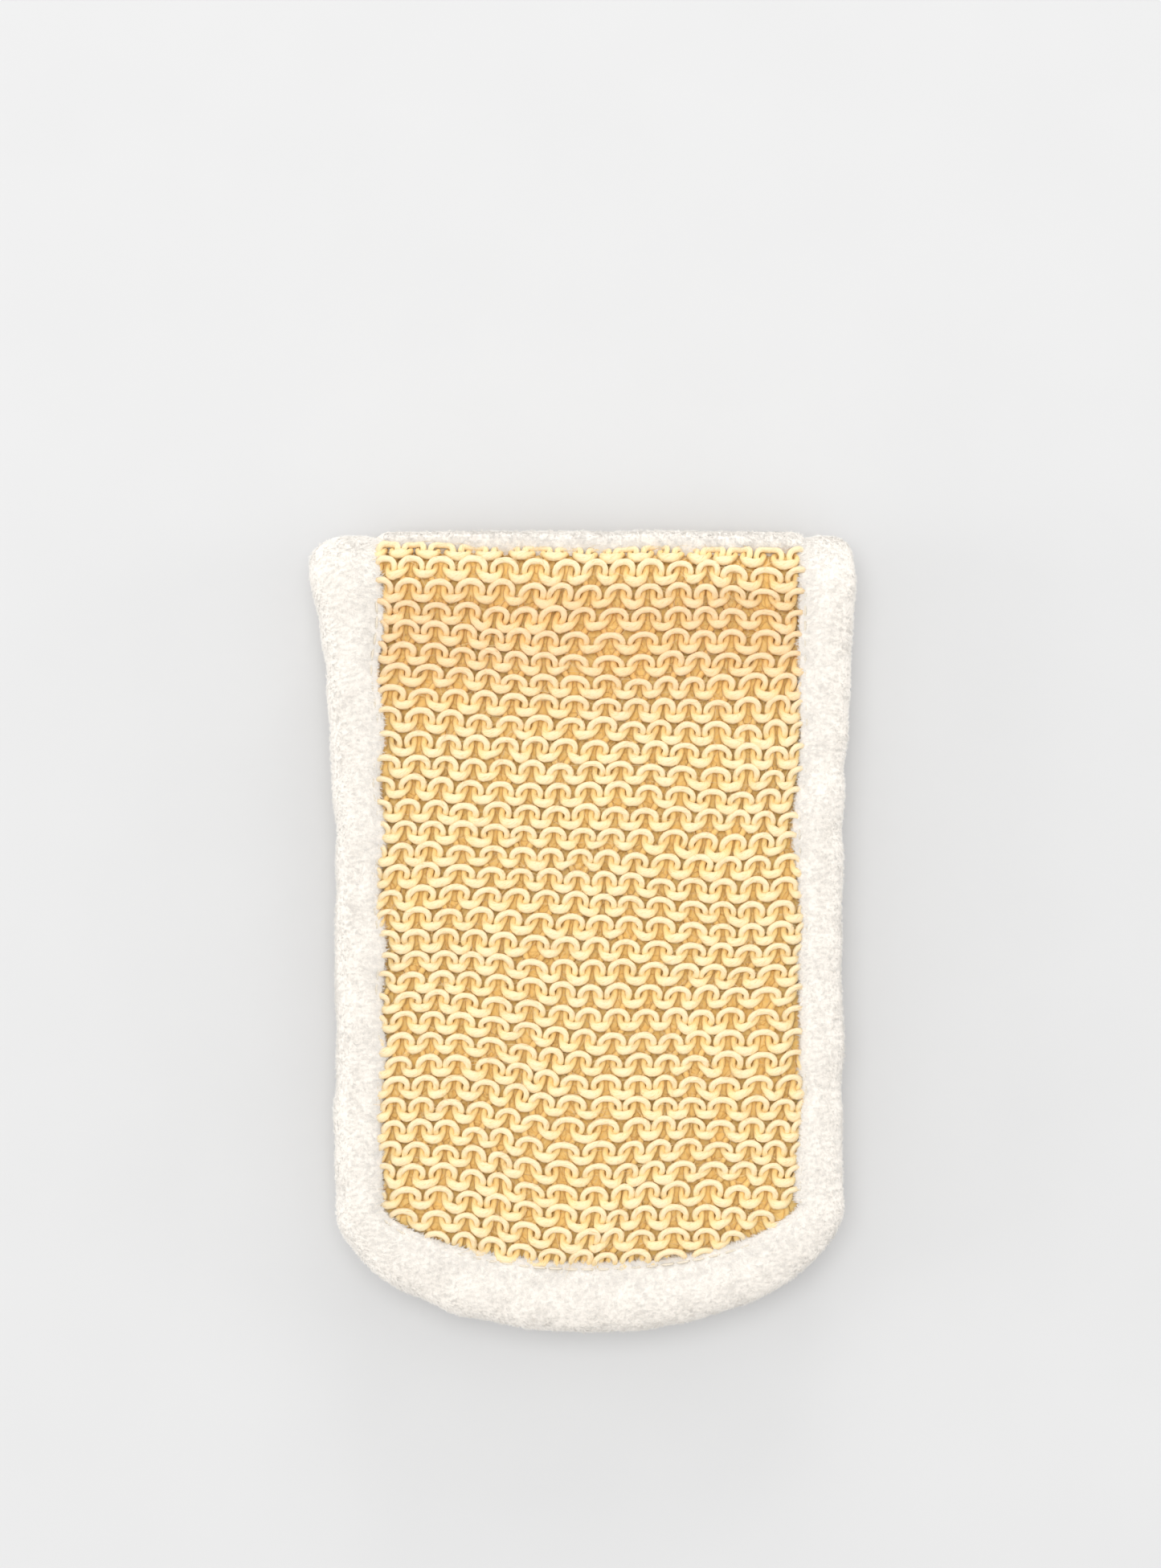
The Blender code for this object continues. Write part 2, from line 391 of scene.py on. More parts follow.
def simulated_crown():
    """Inflates the core between its sewn edges. Returns each top point's rise over the highest one's."""
    s, w, a = core_grid()
    ns, nx = len(s), len(a)
    x = w[:, None] * a[None]
    top = np.stack([x, np.repeat(s[:, None], nx, 1), np.full_like(x, 2 * MM)], -1).reshape(-1, 3)
    low = top * [1, 1, -1]
    verts, faces, rim = slab(top, low, ns, nx)
    o = mesh_piece("core_sim", verts, faces)
    pins = o.vertex_groups.new(name="sewn")
    pins.add([int(i) for i in np.concatenate([rim, rim + ns * nx])], 1.0, "REPLACE")
    cloth = o.modifiers.new("cloth", "CLOTH")
    c = cloth.settings
    c.quality = 5
    c.mass = 0.3
    c.tension_stiffness = c.compression_stiffness = 20
    c.shear_stiffness = 10
    c.bending_stiffness = 3
    c.use_pressure = True
    c.uniform_pressure_force = 4
    c.vertex_group_mass = "sewn"
    c.effector_weights.gravity = 0
    cloth.collision_settings.use_self_collision = False
    cloth.point_cache.frame_start, cloth.point_cache.frame_end = 1, 20
    scene = bpy.context.scene
    for frame_number in range(1, 21):
        scene.frame_set(frame_number)
    got = o.evaluated_get(bpy.context.evaluated_depsgraph_get()).to_mesh()
    co = np.empty(len(got.vertices) * 3, np.float32)
    got.vertices.foreach_get("co", co)
    rise = co.reshape(-1, 3)[: ns * nx, 2].astype(float) - 2 * MM
    scene.frame_set(1)
    bpy.data.objects.remove(o)
    return (rise / max(rise.max(), 1e-6)).reshape(ns, nx)


CROWN = simulated_crown()
BUMPS = Wobble(5, 34 * MM)


def core_top(x, s):
    """Height of the padding's outer face above the middle plane."""
    gs, gw, ga = core_grid()
    half_width = np.interp(s, gs, gw)
    i = np.clip((s - gs[0]) / (gs[-1] - gs[0]) * (len(gs) - 1), 0, len(gs) - 1.001)
    j = np.clip((x / np.maximum(half_width, 1e-6) + 1) / 2 * (len(ga) - 1), 0, len(ga) - 1.001)
    i0, j0 = i.astype(int), j.astype(int)
    fi, fj = i - i0, j - j0
    crown = (CROWN[i0, j0] * (1 - fi) * (1 - fj) + CROWN[i0 + 1, j0] * fi * (1 - fj)
             + CROWN[i0, j0 + 1] * (1 - fi) * fj + CROWN[i0 + 1, j0 + 1] * fi * fj)
    fold = smooth((s + 7 * MM) / (8 * MM))
    dip = np.exp(-(((s + 16 * MM) / (9 * MM)) ** 2))
    return 6.5 * MM + crown * 1.3 * MM + fold * 1.0 * MM - dip * 0.5 * MM + 0.22 * MM * BUMPS(x, s) * crown


def core(half):
    s, w, a = core_grid()
    s = np.concatenate([s, np.linspace(0, CREST, 9)[1:]])
    w = np.concatenate([w, np.full(8, w[-1])])
    x = w[:, None] * a[None]
    ss = np.repeat(s[:, None], len(a), 1)
    rough = 0.12 * MM * Wobble(9, 5 * MM)(x, ss)
    top = np.stack([x, ss, core_top(x, ss) + rough], -1).reshape(-1, 3)
    low = np.stack([x, ss, np.full_like(x, 4.3 * MM)], -1).reshape(-1, 3)
    verts, faces, _ = slab(top, low, *x.shape)
    return mesh_piece(f"wadding_pad_{half}", verts, faces, half, material=WADDING)


# ---------------------------------------------------------------- knit

WALE, COURSE = 6.70 * MM, 5.0 * MM
YARN_D = 1.5 * MM
STEPS = 36  # points of one stitch
SLANT = 0.146  # how far the wales lean, for each unit of length
FLATTEN = 0.85  # the stitch's depth in the cloth, against its drawn depth


def stitch():
    """One stitch of the purl side: a wide head in front, legs behind, and sinkers inside the heads."""
    right = np.array([(0, 4.15, 0.80), (1.35, 4.00, 0.80), (2.20, 3.48, 0.80), (2.66, 2.80, 0.76),
                      (2.76, 2.15, 0.38), (2.62, 1.45, -0.50), (2.20, 0.60, -1.08), (1.62, -0.20, -1.15),
                      (1.15, -1.05, -1.15), (0.92, -1.90, -1.05), (0.92, -2.80, -0.90), (1.08, -3.60, -0.62),
                      (1.40, -4.30, -0.10), (2.00, -4.78, 0.42), (2.65, -4.95, 0.58),
                      (3.35, -5.00, 0.62)]) * MM
    left = right[:0:-1] * [-1, 1, 1]
    keys = np.concatenate([left, right])  # from the left sinker's middle to the right one's
    d = np.concatenate([[0], np.cumsum(np.linalg.norm(np.diff(keys, axis=0), axis=1))])
    at = np.linspace(0, d[-1], STEPS + 1)[:-1]
    p = np.stack([np.interp(at, d, keys[:, k]) for k in range(3)], 1)
    for _ in range(2):
        ahead, behind = np.roll(p, -1, 0), np.roll(p, 1, 0)
        ahead[-1, 0] += WALE
        behind[0, 0] -= WALE
        p = 0.5 * p + 0.25 * (ahead + behind)
    return p


CELL = stitch()


def band_edge(x, half):
    """Where the cross band's low edge lies along the strap; it is narrower towards the front's left corner."""
    low = RHO * np.radians(51 + 13 * smooth((-x / MM - 8) / 38) * (half == "front"))
    return low + 0.25 * MM * Wobble(66, 14 * MM)(x, 0 * x)


def knit_lines(half, seed):
    """Centreline points of every course, in strap space, with each point's depth in the cloth."""
    rng = np.random.default_rng(seed)
    drift, sag = Wobble(seed + 1, 45 * MM), Wobble(seed + 2, 30 * MM)
    small = Wobble(seed + 3, 9 * MM)
    lines = []
    first, last = int((TIP_S - 8 * MM) / COURSE), int(12 * MM / COURSE)
    lo, hi = FLATTEN * CELL[:, 2].min(), FLATTEN * CELL[:, 2].max()
    for j in range(first, last + 1):
        v0 = j * COURSE
        n = int(62 * MM / WALE)
        shift = round(-SLANT * v0 / WALE)
        wales = np.arange(-n, n + 1) + shift
        own = rng.normal(0, 1, (len(wales), 4))
        p = np.repeat(CELL[None], len(wales), 0)
        scale = 1 + 0.055 * own[:, :1]
        p[:, :, 1] = p[:, :, 1] * scale + 0.16 * MM * own[:, 1:2]
        p[:, :, 0] = p[:, :, 0] * (1 + 0.02 * own[:, 2:3]) + 0.12 * MM * own[:, 3:4]
        p[:, :, 0] += wales[:, None] * WALE
        p = p.reshape(-1, 3)
        local = FLATTEN * p[:, 2]
        # The yarn is fattest in the sinkers and a little thinner in the heads.
        bulk = 1 + 0.42 * smooth((-3.9 * MM - p[:, 1]) / (0.8 * MM))
        bulk -= 0.07 * smooth((p[:, 1] - MM) / (1.5 * MM))
        # The joins between jittered stitches are eased.
        for _ in range(2):
            p[1:-1] = 0.5 * p[1:-1] + 0.25 * (p[:-2] + p[2:])
        x, v = p[:, 0], v0 + p[:, 1]
        x = x + SLANT * v
        y = v + FOLD_Y
        # Courses sag in the middle of the lower part and climb towards the left binding.
        fall = smooth((37 * MM - y) / (85 * MM))
        bow = 5.0 * MM * fall * smooth(-x / (46 * MM)) + 0.028 * -x * (1 - fall)
        s = v + bow + 0.54 * MM * drift(x, v)
        x = x + 0.7 * MM * sag(x + 0.2, v)
        inside = inner_depth(x, s)
        keep = (inside > -3.6 * MM) & (s < 12.8 * MM) & (s > TIP_S)
        if keep.sum() < 12:
            continue
        run = np.flatnonzero(keep)
        cut = np.flatnonzero(np.diff(run) > 1)
        parts = [r for r in np.split(run, cut + 1) if len(r) >= 12]
        # The yarn dives under the binding's lip, deeper near the fold, and under the cross band.
        dive = 0.8 * MM + 1.2 * MM * smooth((s + 7 * MM) / (8 * MM))
        under = smooth(1 - (inside + 2.4 * MM) / (2.6 * MM)) * dive
        under += 1.2 * MM * smooth((s - band_edge(x, half) + 1 * MM) / (2 * MM))
        h = core_top(x, s) + 1.85 * MM - under + local + 0.12 * MM * small(x, s)
        depth = (local - lo) / (hi - lo)
        line = np.stack([x, s, h], 1)
        lines += [(line[run], depth[run], bulk[run]) for run in parts]
    return lines


def knit(name, half, lines, seed):
    sides = 8
    turn = np.arange(sides) * 2 * np.pi / sides
    rng = np.random.default_rng(seed + 9)
    verts, faces, depths, coords, total = [], [], [], [], 0
    up = np.array([0.0, 0.0, 1.0])
    for line, depth, bulk in lines:
        t = np.gradient(line, axis=0)
        step = np.linalg.norm(t, axis=1, keepdims=True)
        t = t / step
        along = np.cumsum(step[:, 0])
        side = np.cross(t, up)
        side /= np.linalg.norm(side, axis=1, keepdims=True)
        over = np.cross(side, t)
        phase = rng.uniform(0, 2 * np.pi)
        thick = 1 + 0.10 * np.sin(along / (7 * MM) + phase) * np.sin(along / (17.3 * MM) + 2 * phase)
        thick *= bulk
        ply = 1 + 0.09 * np.cos(2 * (turn[None] - along[:, None] / (0.85 * MM) + phase))
        r = (YARN_D / 2 * thick)[:, None] * ply
        ring = (np.cos(turn)[None, :, None] * side[:, None] + np.sin(turn)[None, :, None] * over[:, None])
        v = line[:, None] + r[..., None] * ring
        n = len(line)
        verts.append(v.reshape(-1, 3))
        faces.append(grid_faces(n, sides, closed=True)[:, ::-1] + total)
        # Depth shades the whole ring: its underside is in the yarn's own shadow.
        depths.append((depth[:, None] * 0.8 + 0.2 * (0.5 + 0.5 * np.sin(turn))[None]).ravel())
        lay = turn[None] - along[:, None] / (1.7 * MM) + phase
        run = along[:, None] / (2.2 * MM) + 9 * phase + 0 * lay
        coords.append(np.stack([3 * np.cos(lay), 3 * np.sin(lay), run], -1).reshape(-1, 3))
        total += n * sides
    ends = []
    start = 0
    for line, _, _ in lines:
        n = len(line) * sides
        ends += [np.arange(start, start + sides), np.arange(start + n - sides, start + n)[::-1]]
        start += n
    attributes = {"depth": np.concatenate(depths), "yarn": np.concatenate(coords)}
    return mesh_piece(name, np.concatenate(verts), [np.concatenate(faces), np.array(ends)], half, attributes,
                      YARN)


def wadding_fibres(half, seed, count=7800):
    """Loose golden fibres that lie on the padding and show through the stitches."""
    rng = np.random.default_rng(seed)
    x, s = rng.uniform(-49, 49, count) * MM, rng.uniform(TIP_S + 10 * MM, 11 * MM, count)
    keep = inner_depth(x, s) > -1.5 * MM
    x, s = x[keep], s[keep]
    count = len(x)
    turn = rng.uniform(0, 2 * np.pi, count)
    length = rng.uniform(1.5, 4.0, count) * MM
    bend = rng.normal(0, 0.15, count) * length
    tilt = rng.normal(0, 0.09, count) * length
    base = core_top(x, s) + rng.uniform(0.05, 0.6, count) * MM
    u = np.linspace(-0.5, 0.5, 5)
    c, n = np.cos(turn)[:, None], np.sin(turn)[:, None]
    a, b = length[:, None] * u, bend[:, None] * (4 * u * u - 0.5)
    q = np.stack([x[:, None] + c * a - n * b, s[:, None] + n * a + c * b,
                  base[:, None] + tilt[:, None] * u], -1)
    thin = rng.uniform(0.04, 0.09, count)[:, None] * MM * np.array([[0.5, 1, 1, 1, 0.5]])
    v, f = strands(q, thin)
    tone = np.repeat(np.clip(rng.normal(0.5, 0.3, count), 0, 1), 15)
    along = np.tile(np.repeat(2 * np.abs(u) * 0.5, 3), count)
    return mesh_piece(f"wadding_fibres_{half}", v, f, half, {"tone": tone, "along": along}, WADDING_FIBRE)


def fuzz(half, lines, seed, count=7000):
    """Stray fibres that leave the yarn and cross its loops."""
    rng = np.random.default_rng(seed)
    points = np.concatenate([l for l, _, _ in lines])
    tangents = np.concatenate([np.gradient(l, axis=0) for l, _, _ in lines])
    depth = np.concatenate([d for _, d, _ in lines])
    good = inner_depth(points[:, 0], points[:, 1]) > -0.5 * MM
    pick = rng.choice(np.flatnonzero(good), count)
    p, t, d = points[pick], tangents[pick], depth[pick]
    t = t / np.linalg.norm(t, axis=1, keepdims=True)
    t *= rng.choice([-1, 1], (count, 1))
    turn = rng.normal(0, 0.55, count)
    c, s = np.cos(turn)[:, None], np.sin(turn)[:, None]
    flat = np.concatenate([t[:, :1] * c - t[:, 1:2] * s, t[:, :1] * s + t[:, 1:2] * c, 0 * c], 1)
    flat /= np.maximum(np.linalg.norm(flat, axis=1, keepdims=True), 1e-9)
    across = np.stack([-flat[:, 1], flat[:, 0], 0 * flat[:, 0]], 1)
    length = rng.gamma(3.0, 0.85, count)[:, None] * MM
    bend = rng.normal(0, 0.32, (count, 1)) * length
    off = rng.uniform(0, np.pi, count)
    radius = YARN_D / 2
    p = p + radius * (np.cos(off)[:, None] * across + np.sin(off)[:, None] * [[0, 0, 1]]) * 0.92
    lift = rng.normal(0.10, 0.22, (count, 1)) * length
    lift = np.clip(lift, -0.8 * MM, 1.1 * MM)
    steps = np.linspace(0, 1, 5)
    rise = np.array([[0, 0, 1.0]]) * lift
    q = np.stack([p + flat * length * u + across * bend * u * u + rise * (u - 0.6 * u * u) for u in steps], 1)
    thin = rng.uniform(0.028, 0.05, count)[:, None] * MM * np.array([[1, 1, 0.95, 0.8, 0.45]])
    v, f = strands(q, thin)
    # Fibres from the deeper parts of the yarn take a darker tone, and each is darker at its root: painted
    # shade.
    tone = np.repeat(np.clip(0.25 + 0.6 * d + rng.normal(0, 0.2, count), 0, 1), 15)
    along = np.tile(np.repeat(steps * 0.6, 3), count)
    return mesh_piece(f"yarn_fibres_{half}", v, f, half, {"tone": tone, "along": along}, FUZZ)


# ---------------------------------------------------------------- plush binding


def roll_section(lip, top):
    """Closed section of the binding as (depth in from the edge, height): outer face, then the slot."""
    big, d_top, d_low = top - PILE, 6.2 * MM, 3.6 * MM
    mid = 5.6 * MM
    t = np.linspace(0, np.pi / 2, 9)
    n1 = 2.35
    quarter_d = 1 - np.cos(t) ** (2 / n1)
    quarter_h = np.sin(t) ** (2 / n1)
    upper = np.stack([PILE + (d_top - PILE) * quarter_d, mid + (big - mid) * quarter_h], -1)
    lower = np.stack([PILE + (d_low - PILE) * quarter_d, mid - (mid - 0.8 * MM) * quarter_h], -1)[::-1]
    run = np.linspace(0, 1, 6)[1:]
    inner = np.stack([d_top + (lip - d_top) * run, big - (big - 9.2 * MM) * run ** 2.6], -1)
    slot = np.array([(lip + 0.1 * MM, 8.7 * MM), (lip - 3 * MM, 8.5 * MM), (4 * MM, 8.8 * MM),
                     (4 * MM, 2.5 * MM), (lip - 1 * MM, 2.4 * MM), (lip, 2.0 * MM), (lip, 0.9 * MM),
                     (0.6 * lip, 0.8 * MM)])
    return np.concatenate([lower, upper[1:], inner, slot])


OUTER_POINTS = 9 + 8 + 5


def roll_top(half, points):
    """Height of the binding's face along its path. The front's two fold corners are softer."""
    x, s = points[:, 0], points[:, 1]
    top = np.full(len(x), THICK) - 0.25 * MM + 0.3 * MM * Wobble(71, 30 * MM)(x, s)
    if half == "front":
        left = smooth((s + 2 * MM) / (16 * MM)) * (x < 0)
        right = smooth((s - 4 * MM) / (12 * MM)) * (x > 0)
        top -= left * 1.7 * MM + right * 0.3 * MM
    else:
        top -= smooth((s - 4 * MM) / (12 * MM)) * 0.8 * MM
    # The two halves meet on the crest.
    top += (ROLL_CREST + PILE - top) * smooth((s - 5 * MM) / (CREST - 6 * MM))
    return np.minimum(top, THICK)


def roll_grid(half):
    points, normals, lips = edge_path(half)
    tops = roll_top(half, points)
    rows = []
    for p, n, lip, top in zip(points, normals, lips, tops):
        sec = roll_section(lip, top)
        rows.append(np.concatenate([p[None] + n[None] * sec[:, :1], sec[:, 1:]], 1))
    grid = np.array(rows)
    # Soft lumps in the stuffed tape.
    lump = Wobble(41 if half == "front" else 43, 15 * MM)
    outer = grid[:, :OUTER_POINTS]
    centre = outer.mean(1, keepdims=True)
    away = outer - centre
    away /= np.linalg.norm(away, axis=2, keepdims=True)
    soft = 0.22 * MM * smooth((CREST - outer[..., 1]) / (8 * MM))
    outer += away * (soft * lump(outer[..., 0] + outer[..., 2], outer[..., 1]))[..., None]
    outer[..., 2] = np.clip(outer[..., 2], 0.7 * MM, THICK - 0.75 * PILE)
    return grid


def surface_samples(grid, count, rng):
    """Random points of an open grid, spread by area, and their unit normals."""
    a, b = grid[:-1, :-1], grid[1:, :-1]
    c, d = grid[1:, 1:], grid[:-1, 1:]
    normal = np.cross(c - a, d - b)
    area = np.linalg.norm(normal, axis=2)
    pick = rng.choice(area.size, count, p=(area / area.sum()).ravel())
    i, j = np.unravel_index(pick, area.shape)
    u, v = rng.random((2, count, 1))
    p = (a[i, j] * (1 - u) * (1 - v) + b[i, j] * u * (1 - v) + c[i, j] * u * v + d[i, j] * (1 - u) * v)
    n = normal[i, j] / np.maximum(area[i, j], 1e-12)[:, None]
    return p, n


def pile(name, half, grid, count, seed, length=0.95, radius=0.08, rise=(0.3, 0.8)):
    """Plush fibres on a grid: a brushed nap, mostly across the tape, that wanders and gathers into tufts."""
    rng = np.random.default_rng(seed)
    p, n = surface_samples(grid, count, rng)
    x, y = p[:, 0] + 0.7 * p[:, 2], p[:, 1]
    turn = 0.6 * Wobble(seed + 1, 12 * MM)(x, y) + 0.7 * Wobble(seed + 2, 2.2 * MM)(x, 1.6 * y)
    # Brushed inwards, so that it laps over the edge of the knit.
    down = np.clip(ELLIPSE_S - p[:, 1], 0, None) * 1.5 - 90 * (p[:, 1] > 3 * MM) * (np.abs(p[:, 0]) < 47 * MM)
    turn += rng.normal(0, 0.35, count) + np.arctan2(down, -p[:, 0])
    nap = np.stack([np.cos(turn), np.sin(turn), np.full(count, -0.5)], 1)
    nap -= n * (nap * n).sum(1, keepdims=True)
    nap /= np.linalg.norm(nap, axis=1, keepdims=True)
    up = rise[0] + (rise[1] - rise[0]) * np.clip(0.5 + 0.5 * Wobble(seed + 3, 1.6 * MM)(x, y)
                                                 + rng.normal(0, 0.2, count), 0, 1.4)
    way = nap + n * up[:, None]
    way /= np.linalg.norm(way, axis=1, keepdims=True)
    reach = length * MM * rng.uniform(0.72, 1.12, count) * (1 + 0.12 * Wobble(seed + 6, 6 * MM)(x, y))
    tips = p + way * reach[:, None]
    tips[:, 2] = np.clip(tips[:, 2], 0.08 * MM, THICK + 0.45 * MM if half == "front" else THICK - 0.02 * MM)
    roots = p - n * 0.12 * MM
    v, f, along = cones(roots, tips, radius * MM * rng.uniform(0.8, 1.2, count), seed)
    tone = np.repeat(np.clip(0.5 + 0.3 * Wobble(seed + 7, 4 * MM)(x, y) + rng.normal(0, 0.25, count), 0, 1), 4)
    own = v.reshape(-1, 4, 3) - (0.6 * roots + 0.4 * tips)[:, None]
    own /= np.linalg.norm(own, axis=2, keepdims=True)
    # Shading normals lean upwards near the crest, where the tips would otherwise look grey from above.
    round_fold = np.clip(p[:, 1], 0, CREST) / RHO
    up = np.stack([0 * round_fold, -np.sin(round_fold), np.cos(round_fold)], 1) * UP[half]
    lean = (0.9 * np.sin(round_fold) ** 2)[:, None] * up
    shade = (0.8 * n[:, None] + 0.35 * own + lean[:, None] + [0, 0, 0.3]).reshape(-1, 3)
    # Each fibre is darker at its root, through "along": painted shade.
    return mesh_piece(name, v, f, half, {"tone": tone, "along": along}, PLUSH_FIBRE, shade)


def binding(half):
    grid = roll_grid(half)
    rows, cols = grid.shape[:2]
    o = mesh_piece(f"binding_roll_{half}", grid.reshape(-1, 3), grid_faces(rows, cols, closed=True)[:, ::-1],
                   half, material=PLUSH)
    outer = grid[:, :OUTER_POINTS]
    face = grid[:, 13:OUTER_POINTS + 1]
    side = outer[:, 2:14]
    a = pile(f"binding_pile_face_{half}", half, face[:, ::-1], 42000, 100 + (half == "back") * 50)
    b = pile(f"binding_pile_side_{half}", half, side[:, ::-1], 32000, 120 + (half == "back") * 50,
             radius=0.11)
    back = np.concatenate([grid[:, -2:], grid[:, :3]], 1)
    lip = grid[:, 18:OUTER_POINTS + 1]
    d = pile(f"binding_pile_lip_{half}", half, lip[:, ::-1], 9000, 130 + (half == "back") * 50, length=1.5,
             rise=(0.1, 0.5))
    c = pile(f"binding_pile_inner_{half}", half, back[:, ::-1], 14000, 140 + (half == "back") * 50,
             length=0.75, radius=0.16)
    return [o, a, b, c, d]


def cross_band(half):
    """The plush tape over the fold's crest, on this half's side of it."""
    x = np.linspace(-54 * MM, 54 * MM, 109)
    t = np.linspace(0, 1, 12)
    low = band_edge(x, half)
    s = low[None] + (CREST - low)[None] * t[:, None]
    # Both halves reach the crest at one height, so that the band's face is joined there.
    free = (1 - t ** 3)[:, None]
    sag = MM * (smooth((np.abs(x) / MM - 25) / 28) * free + 2.5 * smooth((np.abs(x) / MM - 46) / 5))
    top = BAND_CREST - sag
    h = 7.6 * MM + (top - 7.6 * MM) * np.sqrt(smooth(t * 2.6))[:, None]
    h = np.minimum(h + 0.2 * MM * Wobble(67, 12 * MM)(x[None], s) * free, THICK - 0.7 * PILE)
    grid = np.stack([np.repeat(x[None], len(t), 0), s, h], -1)
    o = mesh_piece(f"cross_band_{half}", grid.reshape(-1, 3), grid_faces(len(t), len(x))[:, ::-1], half,
                   material=PLUSH)
    p = pile(f"cross_band_pile_{half}", half, grid[:, -7:6:-1], 10000, 160 + (half == "back") * 50)
    return [o, p]


# ---------------------------------------------------------------- terry lining and thread


def lining(half):
    s = np.linspace(TIP_S + 4.2 * MM, CREST, 150)
    t = np.clip((ELLIPSE_S - s) / (END_DEPTH - 3.6 * MM), 0, 1)
    w = (HALF_WIDTH - 3.9 * MM) * np.sqrt(1 - t * t)
    a = np.linspace(-1, 1, 90)
    x = w[:, None] * a[None]
    ss = np.repeat(s[:, None], len(a), 1)
    soft = Wobble(81, 18 * MM)(x, ss)
    # The lining swells a little between the lips, and thins where it is sewn under them.
    room = smooth((inner_depth(x, ss) + 1 * MM) / (5 * MM))
    h = 3.3 * MM - 1.0 * MM * room + 0.12 * MM * soft
    grid = np.stack([x, ss, h], -1)
    o = mesh_piece(f"terry_ground_{half}", grid.reshape(-1, 3), grid_faces(*x.shape), half, material=TERRY)
    rng = np.random.default_rng(83 + (half == "back"))
    pitch = 1.65 * MM
    px, ps = np.meshgrid(np.arange(-48 * MM, 48 * MM, pitch), np.arange(TIP_S + 15 * MM, CREST, pitch * 0.92))
    px[1::2] += pitch / 2
    px, ps = px.ravel(), ps.ravel()
    ok = inner_depth(px, ps) > -0.6 * MM
    px, ps = px[ok], ps[ok]
    count = len(px)
    px = px + rng.normal(0, 0.16, count) * MM
    ps = ps + rng.normal(0, 0.16, count) * MM
    turn = rng.uniform(0, np.pi, count)
    across = np.stack([np.cos(turn), np.sin(turn), 0 * turn], 1)
    lean = np.stack([rng.normal(0, 0.35, count), rng.normal(0, 0.35, count), 0 * turn], 1) * MM
    room = smooth((inner_depth(px, ps) + 1 * MM) / (5 * MM))
    base = 3.3 * MM - 1.0 * MM * room + 0.12 * MM * Wobble(81, 18 * MM)(px, ps)
    foot = np.stack([px, ps, base + 0.1 * MM], 1)
    size = rng.uniform(0.85, 1.15, count)[:, None]
    u = np.linspace(0, np.pi, 6)
    tall = np.minimum(1.75 * MM * size, (base - 0.35 * MM)[:, None])
    points = np.stack([foot + across * 0.42 * MM * size * (np.cos(v) * (1 + 0.5 * np.sin(v)))
                       + (np.array([[0, 0, -1.0]]) * tall + lean) * np.sin(v) for v in u], 1)
    v, f = strands(points, np.full((count, 6), 0.27 * MM) * size, sides=3)
    tone = np.repeat(np.clip(0.5 + rng.normal(0, 0.25, count), 0, 1), 18)
    # Loops are paler towards their tops: painted shade at their feet.
    along = np.tile(np.repeat(np.sin(u) * 0.8, 3), count)
    loops = mesh_piece(f"terry_loops_{half}", v, f, half, {"tone": tone, "along": along}, TERRY_LOOP)
    return o, loops


def seam(half):
    """Lockstitches along the lip's inner edge, sunk in the pile."""
    points, normals, lips = edge_path(half, 0.5 * MM)
    tops = roll_top(half, points)
    keep = points[:, 1] < 1 * MM
    points, normals, lips = points[keep], normals[keep], lips[keep]
    line = points + normals * (lips - 1.3 * MM)[:, None]
    d = np.concatenate([[0], np.cumsum(np.linalg.norm(np.diff(line, axis=0), axis=1))])
    pitch = 3.6 * MM
    centres = np.arange(pitch, d[-1] - pitch, pitch)
    u = np.linspace(-0.5, 0.5, 7)
    at = centres[:, None] + u[None] * (pitch - 0.7 * MM)
    x, s = np.interp(at, d, line[:, 0]), np.interp(at, d, line[:, 1])
    ground = np.interp(at, d, tops[keep]) - PILE - 0.95 * MM
    h = ground - 0.9 * MM + 0.6 * MM * np.sqrt(np.clip(1 - (2 * u) ** 2, 0, 1))[None]
    q = np.stack([x, s, h], -1)
    r = np.full(q.shape[:2], 0.28 * MM) * np.array([0.7, 1, 1, 1, 1, 1, 0.7])[None]
    v, f = strands(q, r, sides=6)
    return mesh_piece(f"binding_stitches_{half}", v, f, half, material=THREAD)


# ---------------------------------------------------------------- assembly

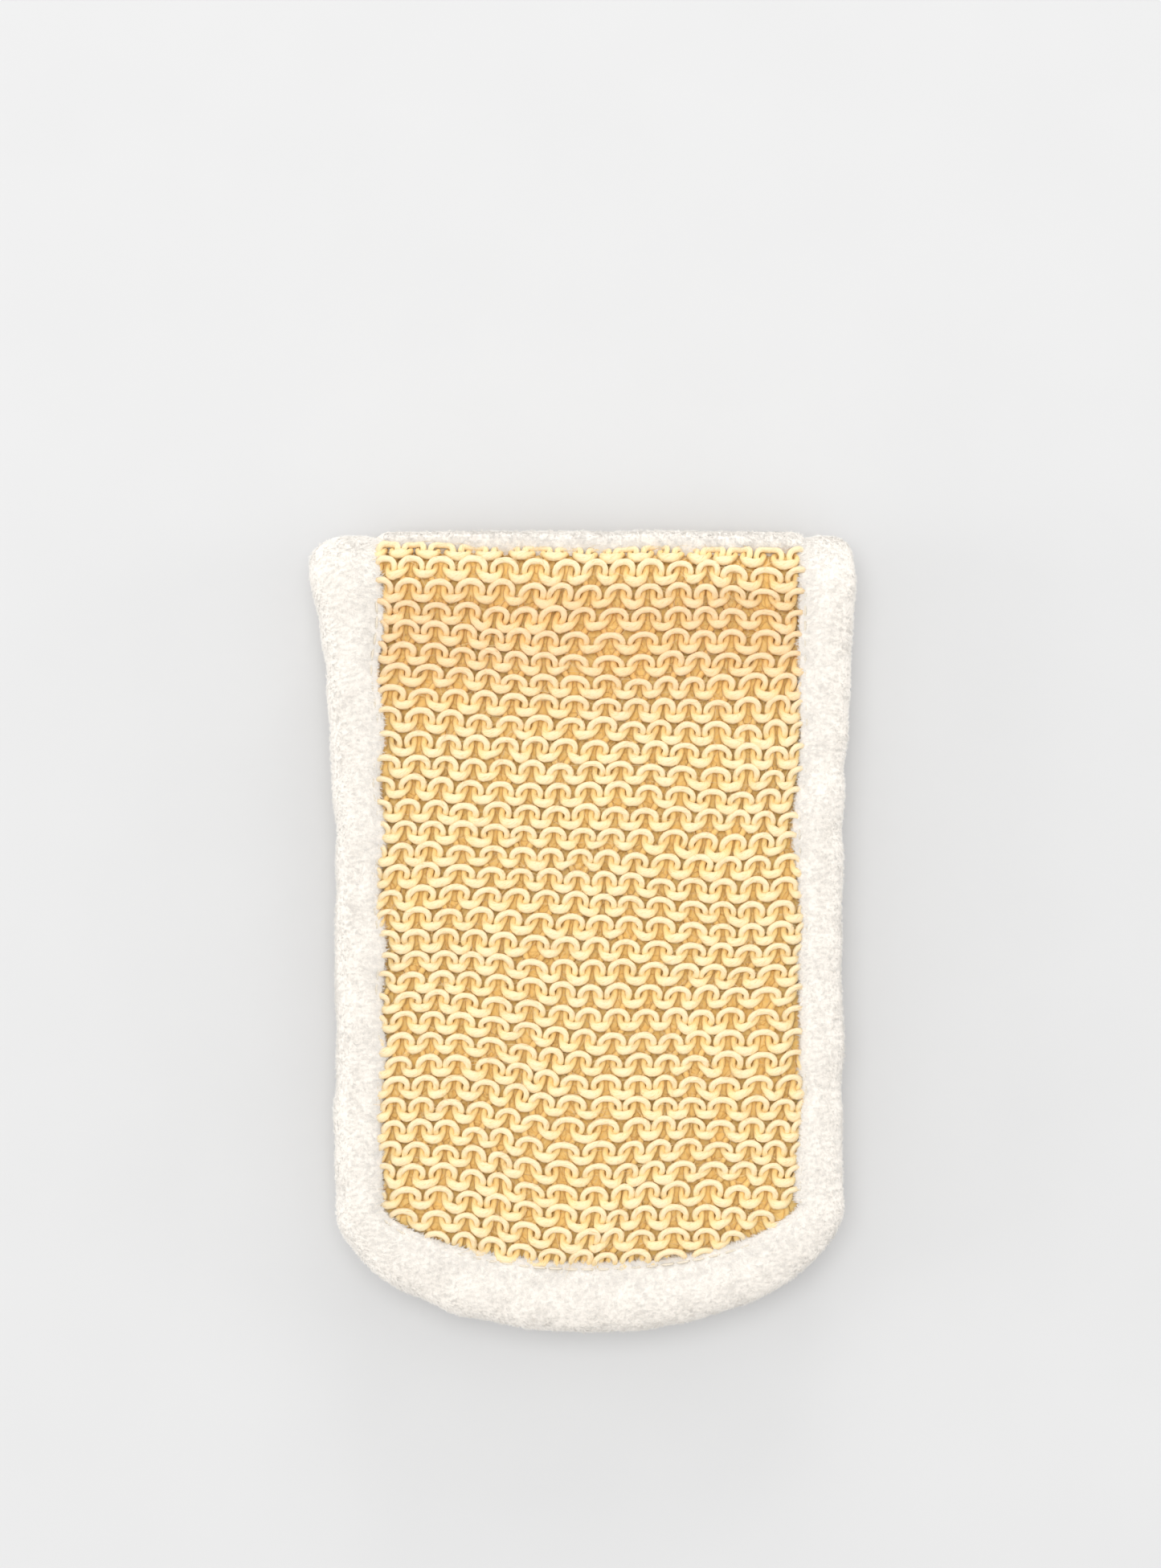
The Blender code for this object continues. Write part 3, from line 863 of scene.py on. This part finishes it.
KNIT_SPLIT = 1 * MM - FOLD_Y  # the yarn is two pieces, parted here
for k, half in enumerate(("front", "back")):
    pad = core(half)
    lines = knit_lines(half, 200 + 40 * k)
    near_fold = [l for l in lines if l[0][:, 1].mean() >= KNIT_SPLIT]
    near_end = [l for l in lines if l[0][:, 1].mean() < KNIT_SPLIT]
    yarn = knit(f"knit_yarn_{half}", half, near_fold, 210 + k)
    yarn_low = knit(f"knit_yarn_end_{half}", half, near_end, 220 + k)
    strays = fuzz(half, lines, 300 + k)
    loose = wadding_fibres(half, 320 + k)
    rolls = binding(half)
    band = cross_band(half)
    ground, loops = lining(half)
    stitches = seam(half)
    layers = ((LINING_CREST, (ground, loops)), (PAD_CREST, (pad,)), (FIBRE_CREST, (loose,)),
              (KNIT_CREST, (yarn, yarn_low, strays)), (BAND_CREST, band), (ROLL_CREST, (*rolls, stitches)))
    for radius, layer in layers:
        for o in layer:
            join_halves(o, half)
    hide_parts(f"wadding_{half}")
    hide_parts(f"knit_panel_{half}", f"fold_knit_{half}")
    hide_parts(f"edge_binding_{half}")
    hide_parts(f"terry_lining_{half}")
    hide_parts(f"binding_thread_{half}")
    if half == "front":
        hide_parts("cross_band")
        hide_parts("fold_wadding")
        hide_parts("fold_lining")
        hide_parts("fold_binding_left", "fold_binding_right")

# ---------------------------------------------------------------- floor, light and camera


# name, place and disc size in metres, power in watts
LAMPS = (("key", (-0.12, 0.25, 2.1), 1.2, 19.5), ("rear", (0.1, 1.6, 0.45), 0.9, 9.0),
         ("left", (-1.6, -0.1, 0.45), 0.9, 7.5), ("right", (1.6, 0.1, 0.45), 0.9, 5.0))


def studio():
    n = 40
    a = np.linspace(-6, 6, n)
    x, y = np.meshgrid(a, a)
    floor = mesh_piece("studio_floor", np.stack([x, y, 0 * x - 0.0002], -1).reshape(-1, 3), grid_faces(n, n))
    s = Shader("floor_paper", Roughness=0.9)
    grain = s.noise(s.node("TexCoord").outputs["Object"], 30.0, 2.0)
    floor.data.materials.append(s.finish(s.mix(grain, lin(204, 204, 204), lin(207, 207, 207))))
    world = bpy.data.worlds.new("studio")
    world.use_nodes = True
    world.node_tree.nodes["Background"].inputs["Color"].default_value = (1, 1, 1, 1)
    world.node_tree.nodes["Background"].inputs["Strength"].default_value = 0.78
    bpy.context.scene.world = world
    for name, where, size, power in LAMPS:
        lamp = bpy.data.lights.new(name, "AREA")
        lamp.shape, lamp.size, lamp.energy = "DISK", size, power
        o = bpy.data.objects.new(name, lamp)
        bpy.context.collection.objects.link(o)
        o.location = where
        o.rotation_euler = (Vector((0, 0, 0.02)) - Vector(where)).to_track_quat("-Z", "Y").to_euler()
    cam = bpy.data.cameras.new("camera")
    cam.lens, cam.sensor_width = 85, 36
    o = bpy.data.objects.new("camera", cam)
    bpy.context.collection.objects.link(o)
    o.location = (-2.25 * MM, 33.1 * MM, 24.3 * MM + 829 * MM)
    bpy.context.scene.camera = o
    bpy.context.scene.view_settings.view_transform = "Standard"


studio()
